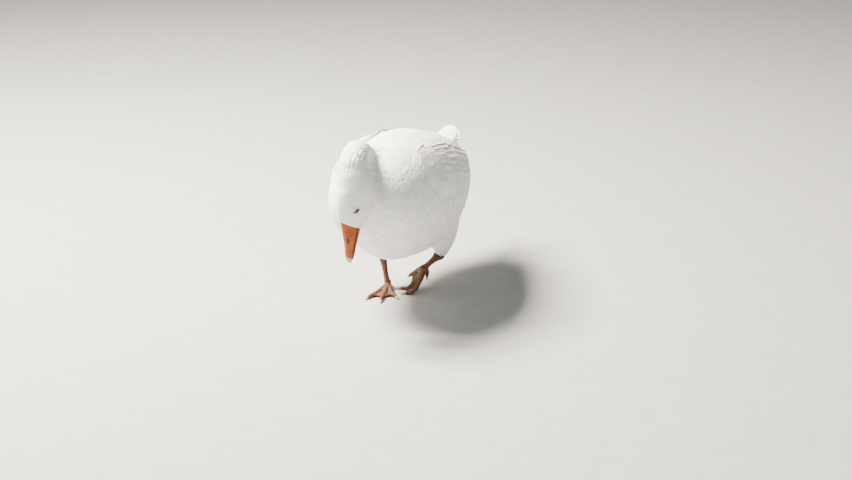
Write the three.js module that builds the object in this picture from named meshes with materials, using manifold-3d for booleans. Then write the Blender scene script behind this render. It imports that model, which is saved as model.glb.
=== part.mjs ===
// A life-size domestic goose (Embden type) walking with its head hung low to graze.
// Millimetres, +Z up. The goose faces -Y, its left side is +X, and the floor is Z = 0.
import * as THREE from 'three';
import * as BufferGeometryUtils from 'three/addons/utils/BufferGeometryUtils.js';
import Module from 'manifold-3d';

const wasm = await Module();
wasm.setup();

// ---------------------------------------------------------------- driving dimensions
const GAP = 0.35; // clear space between neighbouring solids
const BACK_HEIGHT = 380; // floor to the top of the back
const BELLY_HEIGHT = 98; // floor to the underside of the belly
const BODY_WIDTH = 272; // across the closed wings
const BREAST_FORWARD = 256; // breast front, ahead of the body's middle
const RUMP_BACK = 288; // root of the tail, behind the body's middle
const WING_THICKNESS = 7; // closed wing, over the flank
const EYE_RADIUS = 8.2;
const BILL_LENGTH = 84;
const NOSTRIL_LENGTH = 12;
const TOE_RADIUS = 5.6;
const WEB_THICKNESS = 2.4;

const FEATHER = new THREE.MeshStandardMaterial({ color: 0xf4f3ee, roughness: 0.85 });
const FLIGHT = new THREE.MeshStandardMaterial({ color: 0xeceae4, roughness: 0.8 });
const BILL = new THREE.MeshStandardMaterial({ color: 0xd9622b, roughness: 0.45 });
const NAIL = new THREE.MeshStandardMaterial({ color: 0xe6c7a8, roughness: 0.4 });
const EYE = new THREE.MeshStandardMaterial({ color: 0x27313b, roughness: 0.1 });
const SKIN = new THREE.MeshStandardMaterial({ color: 0xd77a4e, roughness: 0.55 });
const CLAW = new THREE.MeshStandardMaterial({ color: 0xb9a08c, roughness: 0.5 });

// ---------------------------------------------------------------- helpers
// A place given as forward, left and up.
const place = (forward, left, up) => new THREE.Vector3(left, -forward, up);

// Smooth values between rows; the first number of each row says where along 0..1 it holds.
function smooth(...rows) {
  const places = rows.map((row) => row[0]);
  const values = rows.flatMap((row) => row.slice(1));
  const curve = new THREE.CubicInterpolant(places, values, rows[0].length - 1);
  return (at) => Array.from(curve.evaluate(THREE.MathUtils.clamp(at, 0, 1)));
}

// A closed surface: a ball's rings are moved to point(along, turn). The first and the last
// ring share their station with the pole, so an open end becomes a flat cap.
function shell(rings, sides, point) {
  const ball = new THREE.SphereGeometry(1, sides, rings);
  const position = ball.attributes.position;
  const uv = ball.attributes.uv;
  for (let i = 0; i < position.count; i++) {
    const ring = Math.round((1 - uv.getY(i)) * rings);
    const along = THREE.MathUtils.clamp((ring - 1) / (rings - 2), 0, 1);
    const pole = ring === 0 || ring === rings;
    const turn = 2 * Math.PI * uv.getX(i);
    const spot = pole ? middle(point, along) : point(along, turn);
    position.setXYZ(i, spot.x, spot.y, spot.z);
  }
  return solid(ball);
}

// The centre of a ring, from two opposite points of it.
function middle(point, along) {
  return point(along, 0).add(point(along, Math.PI)).multiplyScalar(0.5);
}

// A manifold solid from a geometry, turned so that its faces point out.
function solid(geometry) {
  geometry.deleteAttribute('normal');
  geometry.deleteAttribute('uv');
  const merged = BufferGeometryUtils.mergeVertices(geometry, 1e-3);
  const vertices = new Float32Array(merged.attributes.position.array);
  const corners = Uint32Array.from(merged.index.array);
  const kept = [];
  for (let i = 0; i < corners.length; i += 3) {
    const [a, b, c] = corners.subarray(i, i + 3);
    if (a !== b && b !== c && c !== a) kept.push(a, b, c);
  }
  if (signedVolume(vertices, kept) < 0) kept.reverse();
  return new wasm.Manifold(
    new wasm.Mesh({ numProp: 3, vertProperties: vertices, triVerts: Uint32Array.from(kept) }),
  );
}

function signedVolume(vertices, corners) {
  const at = (i) => new THREE.Vector3().fromArray(vertices, 3 * i);
  let volume = 0;
  for (let i = 0; i < corners.length; i += 3) {
    volume += at(corners[i]).dot(at(corners[i + 1]).cross(at(corners[i + 2]))) / 6;
  }
  return volume;
}

// A box solid between two heights, wide enough to cut anything.
function slab(low, high) {
  const box = new THREE.BoxGeometry(2000, 2000, high - low);
  box.translate(0, 0, (low + high) / 2);
  return solid(box);
}

// A big block on the side of a plane that its direction points to.
function halfSpace(point, direction, size = 600) {
  const box = new THREE.BoxGeometry(size, size, size);
  box.translate(0, 0, size / 2);
  const turn = new THREE.Quaternion().setFromUnitVectors(
    new THREE.Vector3(0, 0, 1),
    direction.clone().normalize(),
  );
  box.applyQuaternion(turn);
  box.translate(point.x, point.y, point.z);
  return solid(box);
}

function ball(centre, radius, segments = 14) {
  const geometry = new THREE.SphereGeometry(radius, segments, segments / 2);
  geometry.translate(centre.x, centre.y, centre.z);
  return solid(geometry);
}

// The largest piece of a solid, so that cutting leaves one closed body.
function largest(body) {
  const pieces = body.decompose();
  pieces.sort((a, b) => b.volume() - a.volume());
  return pieces[0];
}

// A ring section: half width, reach on the near side and on the far side of the middle.
function outline(turn, halfWidth, above, below) {
  const across = Math.cos(turn) * halfWidth;
  const height = Math.sin(turn) > 0 ? Math.sin(turn) * above : Math.sin(turn) * below;
  return [across, height];
}

const goose = new THREE.Group();
function add(name, body, material) {
  const mesh = largest(body).getMesh();
  const geometry = new THREE.BufferGeometry();
  geometry.setAttribute('position', new THREE.BufferAttribute(mesh.vertProperties, 3));
  geometry.setIndex(new THREE.BufferAttribute(mesh.triVerts, 1));
  const part = new THREE.Mesh(geometry, material);
  part.name = name;
  goose.add(part);
}

// ---------------------------------------------------------------- trunk
const trunkMiddle = (BREAST_FORWARD - RUMP_BACK) / 2;
const trunkHalf = (BREAST_FORWARD + RUMP_BACK) / 2;
const axisHeight = (BACK_HEIGHT + BELLY_HEIGHT) / 2;
// along, sideways sway, height of the axis, half width, reach above, reach below, pinch
// of the lower half (above 1 it narrows like a keel)
const trunkSizes = smooth(
  [0.0, -4, axisHeight + 44, 0.5 * BODY_WIDTH, 98, 98, 2.1],
  [0.25, -4, axisHeight + 22, 0.52 * BODY_WIDTH, 146, 152, 1.5],
  [0.5, 2, axisHeight - 12, 0.475 * BODY_WIDTH, 150, 126, 1],
  [0.75, 6, axisHeight, 0.335 * BODY_WIDTH, 76, 118, 0.9],
  [1.0, 8, axisHeight + 12, 0.17 * BODY_WIDTH, 36, 48, 1],
);
function trunkPoint(along, turn, grow = 0) {
  const swing = Math.PI * along;
  const [sway, height, halfWidth, above, below, pinch] = trunkSizes(along);
  const round = Math.sin(swing) ** 0.72;
  const lower = Math.max(0, -Math.sin(turn));
  const width = (halfWidth * round + grow) * (1 - lower * (1 - Math.abs(Math.cos(turn)) ** (pinch - 1)));
  const reach = (turn % (2 * Math.PI) < Math.PI ? above : below) * round + grow;
  const forward = trunkMiddle + (trunkHalf + grow) * Math.cos(swing);
  return place(forward, sway + Math.cos(turn) * width, height + Math.sin(turn) * reach);
}
const trunkShell = (grow) => shell(28, 30, (along, turn) => trunkPoint(along, turn, grow));
const trunkGrown = trunkShell(GAP);

// ---------------------------------------------------------------- head frame
// X runs along the bill, Y to the goose's left cheek and Z to the crown; the origin lies
// between the corners of the mouth.
const HEAD_PLACE = place(300, -18, 254);
const HEAD_YAW = THREE.MathUtils.degToRad(-48); // towards the goose's right
const HEAD_DROP = THREE.MathUtils.degToRad(82); // the bill points almost straight down
const level = new THREE.Vector3(Math.sin(HEAD_YAW), -Math.cos(HEAD_YAW), 0);
const upright = new THREE.Vector3(0, 0, 1);
const billWay = level.clone().multiplyScalar(Math.cos(HEAD_DROP));
billWay.addScaledVector(upright, -Math.sin(HEAD_DROP));
const crownWay = level.clone().multiplyScalar(Math.sin(HEAD_DROP));
crownWay.addScaledVector(upright, Math.cos(HEAD_DROP));
const cheekWay = new THREE.Vector3().crossVectors(crownWay, billWay);
const onHead = (x, y, z) =>
  HEAD_PLACE.clone()
    .addScaledVector(billWay, x)
    .addScaledVector(cheekWay, y)
    .addScaledVector(crownWay, z);

// ---------------------------------------------------------------- neck and head
const neckPath = new THREE.CatmullRomCurve3(
  [
    place(119, -22, 293),
    place(176, -31, 346),
    place(223, -29, 379),
    place(261, -23, 380),
    place(288, -19, 358),
    onHead(-72, 0, 0),
    onHead(-45, 0, 2),
    onHead(-15, 0, 4),
    onHead(14, 0, 2),
  ],
  false,
  'centripetal',
);
// along, half width, reach to the nape side, reach to the throat side
const neckSizes = smooth(
  [0.0, 62, 58, 92],
  [0.2, 40, 38, 68],
  [0.38, 29, 30, 40],
  [0.55, 28.5, 29, 33],
  [0.68, 28, 35, 37],
  [0.78, 29.5, 40, 46],
  [0.86, 29, 36, 47],
  [0.93, 23, 27, 38],
  [1.0, 16, 17, 26],
);
const NECK_END = 0.655; // where the skull meets the neck, along the path
function neckFrame(along) {
  const ahead = neckPath.getTangentAt(along);
  const turned = HEAD_YAW * THREE.MathUtils.smoothstep(along, 0.05, 0.6);
  const left = new THREE.Vector3(1, 0, 0).applyAxisAngle(upright, turned);
  const crown = new THREE.Vector3().crossVectors(ahead, left).normalize();
  left.crossVectors(crown, ahead).normalize();
  return { centre: neckPath.getPointAt(along), ahead, left, crown };
}
function neckPoint(along, turn, grow = 0) {
  const { centre, left, crown } = neckFrame(along);
  const [halfWidth, nape, throat] = neckSizes(along);
  const [across, rise] = outline(turn, halfWidth + grow, nape + grow, throat + grow);
  return centre.addScaledVector(left, across).addScaledVector(crown, rise);
}
// One stretch of the neck's surface, closed at both ends by a flat cap.
const stretch = (from, to, rings, grow = 0) =>
  shell(rings, 22, (along, turn) => neckPoint(THREE.MathUtils.lerp(from, to, along), turn, grow));

// ---------------------------------------------------------------- bill
const featherLine = onHead(0, 0, 18);
const featherWay = new THREE.Vector3().addScaledVector(billWay, 28).addScaledVector(crownWay, 8);
featherWay.normalize();
// along, distance from the mouth corner, half width, culmen height, mouth line height
const upperSizes = smooth(
  [0.0, -14, 15.5, 27, -8],
  [0.2, 6, 15.2, 20, -8.5],
  [0.45, 30, 14, 13, -8],
  [0.7, 54, 12.4, 6, -7.5],
  [0.88, 73, 9.6, 2, -8.5],
  [1.0, BILL_LENGTH, 4.5, -4, -10],
);
function upperPoint(along, turn) {
  const [reach, halfWidth, culmen, mouth] = upperSizes(along);
  const [across, rise] = outline(turn, halfWidth, culmen - mouth, 1.2);
  return onHead(reach, across, mouth + 1.2 + rise);
}
// along, distance, half width, mouth line height, keel height
const lowerSizes = smooth(
  [0.0, -14, 14, -9.6, -22],
  [0.3, 14, 13, -9.8, -20],
  [0.6, 42, 11.4, -9.4, -16],
  [0.85, 66, 9, -9.4, -14],
  [1.0, 77, 4.5, -10.8, -13],
);
function lowerPoint(along, turn) {
  const [reach, halfWidth, mouth, keel] = lowerSizes(along);
  const [across, rise] = outline(turn, halfWidth, 0.2, mouth - keel);
  return onHead(reach, across, mouth - 0.6 + rise);
}
const beyondFeathers = (gap) =>
  halfSpace(featherLine.clone().addScaledVector(featherWay, gap), featherWay);
const beyondNail = (gap) => halfSpace(onHead(BILL_LENGTH - 15 + gap, 0, 0), billWay);

// An oval slot right through the upper bill, for the nostrils.
function nostrils() {
  const slot = new THREE.SphereGeometry(1, 10, 6);
  slot.scale(NOSTRIL_LENGTH / 2, 30, NOSTRIL_LENGTH / 6);
  slot.applyMatrix4(new THREE.Matrix4().makeBasis(billWay, cheekWay, crownWay));
  const centre = onHead(0.42 * BILL_LENGTH, 0, 6);
  slot.translate(centre.x, centre.y, centre.z);
  return solid(slot);
}

// ---------------------------------------------------------------- eyes
const eyePlace = (side) => onHead(-33, side * 22, 4);

// ---------------------------------------------------------------- closed wings
// along, station on the trunk, middle and half of the arc it covers in degrees, outer and
// inner distance from the trunk
const wingSizes = smooth(
  [0.0, 0.28, 36, 12, 3, -8],
  [0.12, 0.32, 38, 28, WING_THICKNESS, -8],
  [0.4, 0.46, 34, 38, WING_THICKNESS, -8],
  [0.65, 0.6, 31, 41, WING_THICKNESS, -8],
  [0.85, 0.74, 28, 40, 11, -4],
  [1.0, 0.89, 25, 21, 20, 12],
);
function wingPoint(side, along, turn) {
  const [station, mid, spread, outer, inner] = wingSizes(along);
  const reach = Math.cos(turn);
  const angle = THREE.MathUtils.degToRad(mid + spread * reach);
  const edge = THREE.MathUtils.lerp(inner, outer, 0.3);
  const face = Math.sin(turn) > 0 ? outer : inner;
  const spot = trunkPoint(station, angle, THREE.MathUtils.lerp(face, edge, reach ** 8));
  const sway = trunkSizes(station)[0];
  spot.x = sway + side * (spot.x - sway);
  return spot;
}

// ---------------------------------------------------------------- tail
const TAIL_RISE = THREE.MathUtils.degToRad(24);
// along, distance from the root, half width, half thickness
const tailSizes = smooth(
  [0.0, -20, 30, 20],
  [0.3, 30, 30, 17],
  [0.7, 80, 27, 10],
  [0.9, 104, 20, 5],
  [1.0, 116, 10, 3],
);
function tailPoint(along, turn) {
  const [reach, halfWidth, thick] = tailSizes(along);
  const [across, rise] = outline(turn, halfWidth, thick, thick * 1.2);
  const arched = rise - 0.004 * across * across;
  return place(
    -262 - reach * Math.cos(TAIL_RISE) + arched * Math.sin(TAIL_RISE),
    across + 1,
    250 + reach * Math.sin(TAIL_RISE) + arched * Math.cos(TAIL_RISE),
  );
}

// ---------------------------------------------------------------- legs
// The right foot is planted. The left heel has lifted: its toes reach down and inwards and
// the last joints of the middle and the outer toe rest on the floor.
const LEGS = {
  left: {
    hip: place(20, 82, 232),
    knee: place(-14, 84, 154),
    hock: place(-76, 62, 74),
    heel: place(0, 45, 62),
    inner: [place(-14, 25, 49), place(-30, 2, 30)],
    middle: [place(-6, 24, 26), place(-12, 4, 5.5), place(-14, -14, 3.8)],
    outer: [place(8, 34, 26), place(12, 22, 5.5), place(16, 6, 3.8)],
    hind: [place(-12, 48, 50), place(-19, 46, 36)],
  },
  right: {
    hip: place(30, -58, 205),
    knee: place(-4, -72, 136),
    hock: place(-26, -64, 90),
    heel: place(-5, -42, 8.5),
    inner: [place(22, -25, 5), place(46, -6, 3.8)],
    middle: [place(36, -38, 5), place(60, -34, 5), place(77, -31, 3.8)],
    outer: [place(32, -54, 5), place(52, -60, 5), place(68, -65, 3.8)],
    hind: [place(-18, -44, 15), place(-30, -47, 8)],
  },
};
const TOES = ['inner', 'middle', 'outer', 'hind'];
const thighSizes = smooth([0, 46, 38], [0.25, 58, 41], [0.5, 50, 33], [0.8, 26, 21], [1, 14, 14]);
const shankSizes = smooth([0, 11, 12], [0.12, 13, 14], [0.3, 9.5, 9], [0.75, 7, 6], [1, 8, 8.5]);
const toeSizes = smooth([0, 9, 9], [0.5, TOE_RADIUS, TOE_RADIUS], [1, 4.4, 4]);
const clawSizes = smooth([0, 3.6, 3], [0.5, 2.8, 2.3], [1, 1, 0.8]);

// A round limb between points, with radii along it (front to back, then across).
function limb(points, rings, sides, sizes, grow = 0) {
  const path = new THREE.CatmullRomCurve3(points, false, 'centripetal');
  return shell(rings, sides, (along, turn) => {
    const ahead = path.getTangentAt(along);
    const left = new THREE.Vector3(1, 0, 0).addScaledVector(ahead, -ahead.x).normalize();
    const front = new THREE.Vector3().crossVectors(left, ahead);
    const [deep, wide] = sizes(along);
    return path
      .getPointAt(along)
      .addScaledVector(ahead, (2 * along - 1) * grow)
      .addScaledVector(left, (wide + grow) * Math.cos(turn))
      .addScaledVector(front, (deep + grow) * Math.sin(turn));
  });
}

// The skin between two toes, cut back in a curve at its free edge.
function web(heel, one, other) {
  const paths = [one, other].map((toe) => new THREE.CatmullRomCurve3([heel, ...toe]));
  const out = new THREE.Vector3().crossVectors(
    one.at(-1).clone().sub(heel),
    other.at(-1).clone().sub(heel),
  );
  out.normalize();
  const sheet = new THREE.BoxGeometry(1, 1, WEB_THICKNESS, 6, 4, 1);
  const position = sheet.attributes.position;
  for (let i = 0; i < position.count; i++) {
    const across = position.getY(i) + 0.5;
    const scallop = 1 - 0.7 * across * (1 - across);
    const along = THREE.MathUtils.lerp(0.06, 0.88 * scallop, position.getX(i) + 0.5);
    const spot = paths[0].getPointAt(along).lerp(paths[1].getPointAt(along), across);
    spot.addScaledVector(out, position.getZ(i));
    position.setXYZ(i, spot.x, spot.y, spot.z);
  }
  return solid(sheet);
}

const shank = (leg, grow = 0) => limb([leg.hock, leg.heel], 10, 10, shankSizes, grow);
const underFloor = slab(-200, 0);
function foot(leg) {
  let body = web(leg.heel, leg.inner, leg.middle).add(web(leg.heel, leg.middle, leg.outer));
  for (const toe of TOES) body = body.add(limb([leg.heel, ...leg[toe]], 8, 8, toeSizes));
  return body.subtract(shank(leg, GAP)).subtract(underFloor);
}

function claw(toe) {
  const tip = toe.at(-1);
  const ahead = tip.clone().sub(toe.at(-2)).normalize();
  const from = tip.clone().addScaledVector(ahead, GAP);
  const bend = from.clone().addScaledVector(ahead, 6);
  const end = bend.clone().addScaledVector(ahead, 5);
  end.z = Math.max(end.z - 2, 1.6);
  return limb([from, bend, end], 5, 6, clawSizes).subtract(slab(-200, 0.4));
}

// ---------------------------------------------------------------- assembly
add('trunk', trunkShell(0), FEATHER);
add('neck', stretch(0, NECK_END, 15).subtract(trunkGrown), FEATHER);
const eyeHoles = [1, -1].map((side) => ball(eyePlace(side), EYE_RADIUS + GAP));
let head = stretch(NECK_END + 0.0014, 1, 15).subtract(beyondFeathers(0));
for (const hole of eyeHoles) head = head.subtract(hole);
add('head', head, FEATHER);
const upper = shell(14, 18, upperPoint).intersect(beyondFeathers(GAP)).subtract(nostrils());
add('bill_upper', upper.subtract(beyondNail(0)), BILL);
add('bill_nail', upper.intersect(beyondNail(GAP)), NAIL);
add('bill_lower', shell(12, 16, lowerPoint).intersect(beyondFeathers(GAP)), BILL);
add('eye_left', ball(eyePlace(1), EYE_RADIUS), EYE);
add('eye_right', ball(eyePlace(-1), EYE_RADIUS), EYE);
add('tail', shell(10, 16, tailPoint).subtract(trunkGrown), FLIGHT);
for (const [name, side] of [['left', 1], ['right', -1]]) {
  const leg = LEGS[name];
  const wing = shell(18, 14, (along, turn) => wingPoint(side, along, turn));
  add(`wing_${name}`, wing.subtract(trunkGrown), FEATHER);
  const thigh = limb([leg.hip, leg.knee, leg.hock], 11, 14, thighSizes);
  add(`thigh_${name}`, thigh.subtract(trunkGrown).subtract(shank(leg, GAP)), FEATHER);
  add(`shank_${name}`, shank(leg), SKIN);
  add(`foot_${name}`, foot(leg), SKIN);
  for (const toe of TOES) add(`claw_${name}_${toe}`, claw(leg[toe]), CLAW);
}

// The origin goes under the middle of the whole, on the floor.
const bounds = new THREE.Box3().setFromObject(goose);
const centre = bounds.getCenter(new THREE.Vector3());
for (const part of goose.children) part.geometry.translate(-centre.x, -centre.y, -bounds.min.z);

export default goose;
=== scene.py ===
# %% [markdown]
# # A white farm goose, built feather by feather
#
# A goose looks smooth from far away, but its outline is made by small overlapping vanes, over
# eight thousand in this model. This lesson builds the bird in the order a model maker would:
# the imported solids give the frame, one skin is drawn over them, and feathers are laid on that
# skin, the way roof tiles are laid. The bill, the eyes and the feet are made last.

# %%
import math
import bpy
import numpy as np
from mathutils import Matrix, Vector
from mathutils.bvhtree import BVHTree
from mathutils.kdtree import KDTree


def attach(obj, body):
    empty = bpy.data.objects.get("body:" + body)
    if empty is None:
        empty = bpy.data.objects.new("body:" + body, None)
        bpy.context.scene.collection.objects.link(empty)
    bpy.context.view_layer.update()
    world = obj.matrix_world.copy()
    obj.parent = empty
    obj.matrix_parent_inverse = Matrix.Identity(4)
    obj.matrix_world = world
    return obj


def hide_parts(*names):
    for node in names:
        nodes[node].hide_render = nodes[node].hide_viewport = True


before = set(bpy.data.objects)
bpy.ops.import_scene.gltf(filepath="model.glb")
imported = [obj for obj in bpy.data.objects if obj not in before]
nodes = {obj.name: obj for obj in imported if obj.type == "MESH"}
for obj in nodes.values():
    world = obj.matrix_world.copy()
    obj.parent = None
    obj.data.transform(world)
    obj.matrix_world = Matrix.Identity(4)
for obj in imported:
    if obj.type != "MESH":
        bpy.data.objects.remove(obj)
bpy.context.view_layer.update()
rng = np.random.default_rng(7)
print("frame loaded:", len(nodes), "solids")

# %% [markdown]
# ## Small tools
#
# Colours are written as the hex numbers people know and turned into linear light. A mesh is
# made from whole arrays, which is much quicker than adding its corners one by one.

# %%
def linear(hexa):
    """The linear colour of a hex sRGB one: ((c + 0.055) / 1.055) to the power 2.4."""
    c = np.array([int(hexa[i:i + 2], 16) / 255 for i in (0, 2, 4)])
    c = np.where(c > 0.04045, ((c + 0.055) / 1.055) ** 2.4, c / 12.92)
    return (*[float(v) for v in c], 1.0)


def unit(v):
    """Vectors divided by their own lengths."""
    return v / np.maximum(np.linalg.norm(v, axis=-1, keepdims=True), 1e-12)


def piece(name, points, tris, material, hides=(), uv=None, marks=(), rim=None):
    """A smooth shaded mesh from points (n, 3) and triangles (m, 3), riding on the body."""
    mesh = bpy.data.meshes.new(name)
    mesh.vertices.add(len(points))
    mesh.vertices.foreach_set("co", np.asarray(points, np.float32).ravel())
    mesh.loops.add(tris.size)
    mesh.loops.foreach_set("vertex_index", tris.astype(np.int32).ravel())
    mesh.polygons.add(len(tris))
    mesh.polygons.foreach_set("loop_start", np.arange(0, tris.size, 3, dtype=np.int32))
    mesh.update(calc_edges=True)
    mesh.polygons.foreach_set("use_smooth", np.ones(len(tris), bool))
    if rim is not None:
        ends = np.empty(len(mesh.edges) * 2, np.int32)
        mesh.edges.foreach_get("vertices", ends)
        sharp = mesh.attributes.new("sharp_edge", "BOOLEAN", "EDGE")
        sharp.data.foreach_set("value", rim[ends.reshape(-1, 2)].all(1))
    if uv is not None:
        mesh.uv_layers.new(name="OFBake").data.foreach_set("uv", uv[tris].astype(np.float32).ravel())
    for mark, values in marks:
        kept = mesh.attributes.new(mark, "FLOAT", "POINT")
        kept.data.foreach_set("value", values.astype(np.float32).ravel())
    mesh.validate()
    mesh.materials.append(material)
    made = bpy.data.objects.new(name, mesh)
    bpy.context.scene.collection.objects.link(made)
    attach(made, "root")
    if hides:
        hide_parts(*hides)
    print(name, len(points), "points,", len(tris), "triangles")
    return made


def halves(a, b, c, d):
    """Two triangles for each four-sided patch with the corners a, b and, beyond them, c, d."""
    return np.concatenate([np.stack([a, b, d], -1).reshape(-1, 3), np.stack([a, d, c], -1).reshape(-1, 3)])


def grid(rings):
    """Points and triangles of a closed tube of rings (r, s, 3), its ends drawn to a point."""
    r, s = rings.shape[:2]
    i, j = np.meshgrid(np.arange(r - 1), np.arange(s), indexing="ij")
    a, b = i * s + j, i * s + (j + 1) % s
    c, d = a + s, b + s
    tris = halves(a, b, c, d)
    k = np.arange(s)
    first = np.stack([np.full(s, r * s), (k + 1) % s, k], -1)
    last = np.stack([np.full(s, r * s + 1), (r - 1) * s + k, (r - 1) * s + (k + 1) % s], -1)
    points = np.concatenate([rings.reshape(-1, 3), rings[:1].mean(1), rings[-1:].mean(1)])
    tris = np.concatenate([tris, first, last])
    a, b, c = (points[tris[:, n]] for n in range(3))
    if np.einsum("ij,ij->", a, np.cross(b, c)) < 0:
        tris = tris[:, ::-1]
    return points, tris


def sweep(along, sides):
    """Stations and angles of a tube with that many sides, as two arrays (stations, sides)."""
    return np.meshgrid(along, np.linspace(0, 2 * np.pi, sides, endpoint=False), indexing="ij")


def curve(rows, at):
    """Cubic through the rows: the first column is where each row holds, the rest its values."""
    rows = np.asarray(rows, float)
    x, y = rows[:, 0], rows[:, 1:]
    slope = np.gradient(y, x, axis=0)
    at = np.clip(np.asarray(at, float), x[0], x[-1])
    i = np.clip(np.searchsorted(x, at, side="right") - 1, 0, len(x) - 2)
    h = (x[i + 1] - x[i])[..., None]
    t = (at - x[i])[..., None] / h
    low = y[i] * (1 + 2 * t) * (1 - t) ** 2 + slope[i] * h * t * (1 - t) ** 2
    return low + y[i + 1] * t ** 2 * (3 - 2 * t) + slope[i + 1] * h * t ** 2 * (t - 1)


print("tools ready")

# %% [markdown]
# ## Materials
#
# Each material is named for the real stuff. One function adds a node, sets its sockets and
# links it, so that a material reads as a list of layers. Feather keratin has an index of
# refraction of about 1.54, and the wet eye 1.38, like water with a little salt.

# %%
class Stuff:
    """A material and a short way to add nodes to it."""

    def __init__(self, name, **look):
        self.material = bpy.data.materials.new(name)
        self.material.use_nodes = True
        self.tree = self.material.node_tree
        self.shader = self.tree.nodes["Principled BSDF"]
        self.set(self.shader, look)

    def set(self, node, sockets):
        for key, value in sockets.items():
            socket = node.inputs[key if isinstance(key, int) else key.replace("_", " ")]
            if isinstance(value, bpy.types.NodeSocket):
                self.tree.links.new(value, socket)
            else:
                socket.default_value = value

    def add(self, kind, out=0, sockets=None, **settings):
        node = self.tree.nodes.new(kind)
        for key, value in settings.items():
            setattr(node, key, value)
        self.set(node, sockets or {})
        return node.outputs[out]

    def ramp(self, fac, *stops):
        node = self.tree.nodes.new("ShaderNodeValToRGB")
        band = node.color_ramp
        while len(band.elements) < len(stops):
            band.elements.new(0.5)
        for element, (place, hexa) in zip(band.elements, stops):
            element.position = place
            element.color = linear(hexa)
        self.tree.links.new(fac, node.inputs[0])
        return node.outputs[0]

    def paint(self, **links):
        self.set(self.shader, links)
        return self.material


def feather_stuff(name, bright, dull, barb_mm):
    """White keratin: a little tone from vane to vane and the fine slanting lines of barbs."""
    s = Stuff(name, Roughness=0.72, IOR=1.54, Sheen_Weight=0.25, Sheen_Roughness=0.5)
    s.set(s.shader, {"Subsurface Weight": 0.12, "Subsurface Radius": (0.004, 0.0035, 0.003)})
    tone = s.add("ShaderNodeAttribute", 2, attribute_name="tone")
    colour = s.ramp(tone, (0.0, dull), (1.0, bright))
    barb = s.add("ShaderNodeAttribute", 2, attribute_name="barb")
    turns = s.add("ShaderNodeMath", operation="MULTIPLY", sockets={0: barb, 1: 2000 * math.pi / barb_mm})
    wave = s.add("ShaderNodeMath", operation="SINE", sockets={0: turns})
    bump = s.add("ShaderNodeBump", sockets={"Height": wave, "Strength": 0.25, "Distance": 0.0002})
    return s.paint(Base_Color=colour, Normal=bump)


PLUME = feather_stuff("white contour feather", "faf9f5", "e9e7df", 0.9)
QUILL = feather_stuff("white flight feather", "f7f6f1", "e4e2da", 1.1)


def skin_stuff():
    """Down over pale skin: soft grain of about 2 mm."""
    s = Stuff("white down", Roughness=0.85, IOR=1.45, Sheen_Weight=0.3)
    where = s.add("ShaderNodeTexCoord", 3)
    grain = s.add("ShaderNodeTexNoise", sockets={"Vector": where, "Scale": 480.0, "Detail": 3.0})
    colour = s.ramp(grain, (0.3, "ebe9e2"), (0.7, "f8f7f3"))
    bump = s.add("ShaderNodeBump", sockets={"Height": grain, "Strength": 0.35, "Distance": 0.0006})
    return s.paint(Base_Color=colour, Normal=bump)


DOWN = skin_stuff()


def horn_stuff(name, deep, light, scale, rough):
    """Living horn: mottled colour at a few millimetres and faint growth grain, and painted shade where the
    shade mark is set.
    """
    s = Stuff(name, IOR=1.55, Specular_IOR_Level=0.35)
    s.set(s.shader, {"Subsurface Weight": 0.15, "Subsurface Radius": (0.003, 0.0012, 0.0006)})
    where = s.add("ShaderNodeTexCoord", 3)
    mottle = s.add("ShaderNodeTexNoise", sockets={"Vector": where, "Scale": scale, "Detail": 4.0})
    shade = s.add("ShaderNodeAttribute", 2, attribute_name="shade")
    horn = s.ramp(mottle, (0.25, deep), (0.75, light))
    # painted shade: the shade mark mixes the horn towards dark brown
    colour = s.add("ShaderNodeMix", 2, data_type="RGBA", sockets={0: shade, 6: horn, 7: linear("3a1608")})
    fine = s.add("ShaderNodeTexNoise", sockets={"Vector": where, "Scale": scale * 9, "Detail": 2.0})
    bump = s.add("ShaderNodeBump", sockets={"Height": fine, "Strength": 0.25, "Distance": 0.0003})
    gloss = s.add("ShaderNodeMapRange", sockets={0: fine, 3: rough - 0.08, 4: rough + 0.1})
    return s.paint(Base_Color=colour, Normal=bump, Roughness=gloss)


BILL = horn_stuff("orange bill", "7a3204", "ab5206", 110.0, 0.46)
NAIL = horn_stuff("pale horn", "9a7258", "c4a286", 160.0, 0.42)
CLAW = horn_stuff("claw horn", "9c8270", "d6bea6", 220.0, 0.4)
LID = horn_stuff("orange eye ring", "8a4a1e", "b8703a", 300.0, 0.5)


def scale_stuff():
    """Leg skin: horny plates 2 to 3 mm across with dark seams, as cells of a Voronoi pattern."""
    s = Stuff("scaled leg skin", IOR=1.5)
    where = s.add("ShaderNodeTexCoord", 3)
    cell = {"Vector": where, "Scale": 420.0}
    seam = s.add("ShaderNodeTexVoronoi", 0, cell, feature="DISTANCE_TO_EDGE")
    plate = s.add("ShaderNodeTexNoise", sockets={"Vector": where, "Scale": 60.0, "Detail": 3.0})
    colour = s.ramp(plate, (0.3, "4a260a"), (0.7, "6e3e14"))
    edge = s.add("ShaderNodeMapRange", sockets={0: seam, 1: 0.0, 2: 0.12, 3: 0.62, 4: 1.0})
    shaded = s.add("ShaderNodeVectorMath", operation="MULTIPLY", sockets={0: colour, 1: edge})
    bump = s.add("ShaderNodeBump", sockets={"Height": edge, "Strength": 0.5, "Distance": 0.0006})
    gloss = s.add("ShaderNodeMapRange", sockets={0: plate, 3: 0.45, 4: 0.62})
    return s.paint(Base_Color=shaded, Normal=bump, Roughness=gloss)


SCALE = scale_stuff()


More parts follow.
